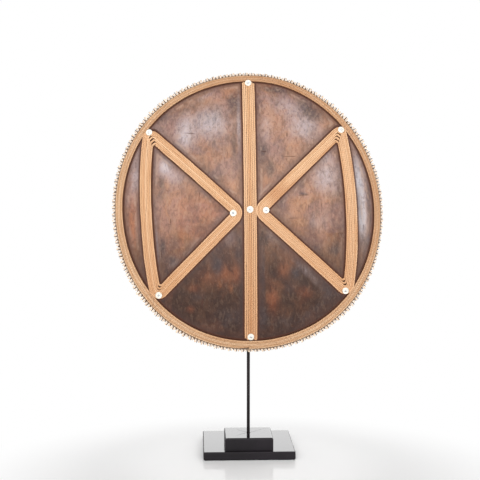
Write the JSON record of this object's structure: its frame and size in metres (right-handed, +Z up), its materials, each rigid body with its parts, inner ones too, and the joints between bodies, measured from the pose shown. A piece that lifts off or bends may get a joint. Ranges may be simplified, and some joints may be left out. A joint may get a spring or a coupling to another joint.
{
  "type": "wooden shield",
  "caption": "Round domed wooden shield with cane-bound rim, inlaid cane bands, shell discs and back grips, turning on and lifting off a small rod stand.",
  "frame": {"origin": "middle of the felt under the base, on the surface that the stand rests on", "axes": "+Z up along the stand's rod, -Y towards the shield's front, +X to the right of someone who faces the front"},
  "size_m": [0.522, 0.172, 0.7288],
  "materials": {
    "carved_wood": "dark carved wood, waxed, mottled and worn",
    "cane": "tan cane strands, dull",
    "pale_cane": "pale thin cane loops, dull",
    "grip_cane": "thick bent cane, polished by handling",
    "shell": "white shell, satin",
    "block_wood": "plain stained wood",
    "black_lacquer": "gloss black lacquer",
    "black_rod": "black painted steel, satin",
    "steel": "plain steel",
    "brass": "plain brass",
    "felt": "black felt"
  },
  "bodies": {
    "stand": {"base_felt": "felt", "base_board": "black_lacquer", "step_block": "black_lacquer", "stand_rod": "black_rod", "rod_nut": "steel", "rod_washer": "steel", "stop_collar": "black_rod", "collar_screw": "steel", "board_screw_1": "brass", "board_screw_2": "brass"},
    "swivel": {"swivel_washer": "brass"},
    "shield": {"shield_body": "carved_wood", "rim_cane": "cane", "left_band_cane": "cane", "right_band_cane": "cane", "upright_band_cane": "cane", "edge_lacing": "pale_cane", "socket_block": "block_wood", "hand_grip": "grip_cane", "arm_grip": "grip_cane", "block_screw_1": "brass", "block_screw_2": "brass", "block_screw_3": "brass", "block_screw_4": "brass", "shell_disc_centre": "shell", "disc_nail_centre": "steel", "shell_disc_top": "shell", "disc_nail_top": "steel", "shell_disc_bottom": "shell", "disc_nail_bottom": "steel", "shell_disc_left_apex": "shell", "disc_nail_left_apex": "steel", "shell_disc_left_upper": "shell", "disc_nail_left_upper": "steel", "shell_disc_left_lower": "shell", "disc_nail_left_lower": "steel", "shell_disc_right_apex": "shell", "disc_nail_right_apex": "steel", "shell_disc_right_upper": "shell", "disc_nail_right_upper": "steel", "shell_disc_right_lower": "shell", "disc_nail_right_lower": "steel"}
  },
  "joints": [
    {"name": "shield_swivel", "type": "hinge", "parent": "stand", "child": "swivel", "pos_m": [0, -0.0305, 0.4137], "axis": [0, 0, 1], "continuous": true},
    {"name": "shield_lift", "type": "slide", "parent": "swivel", "child": "shield", "axis": [0, 0, 1], "range_m": [0, 0.08]}
  ]
}
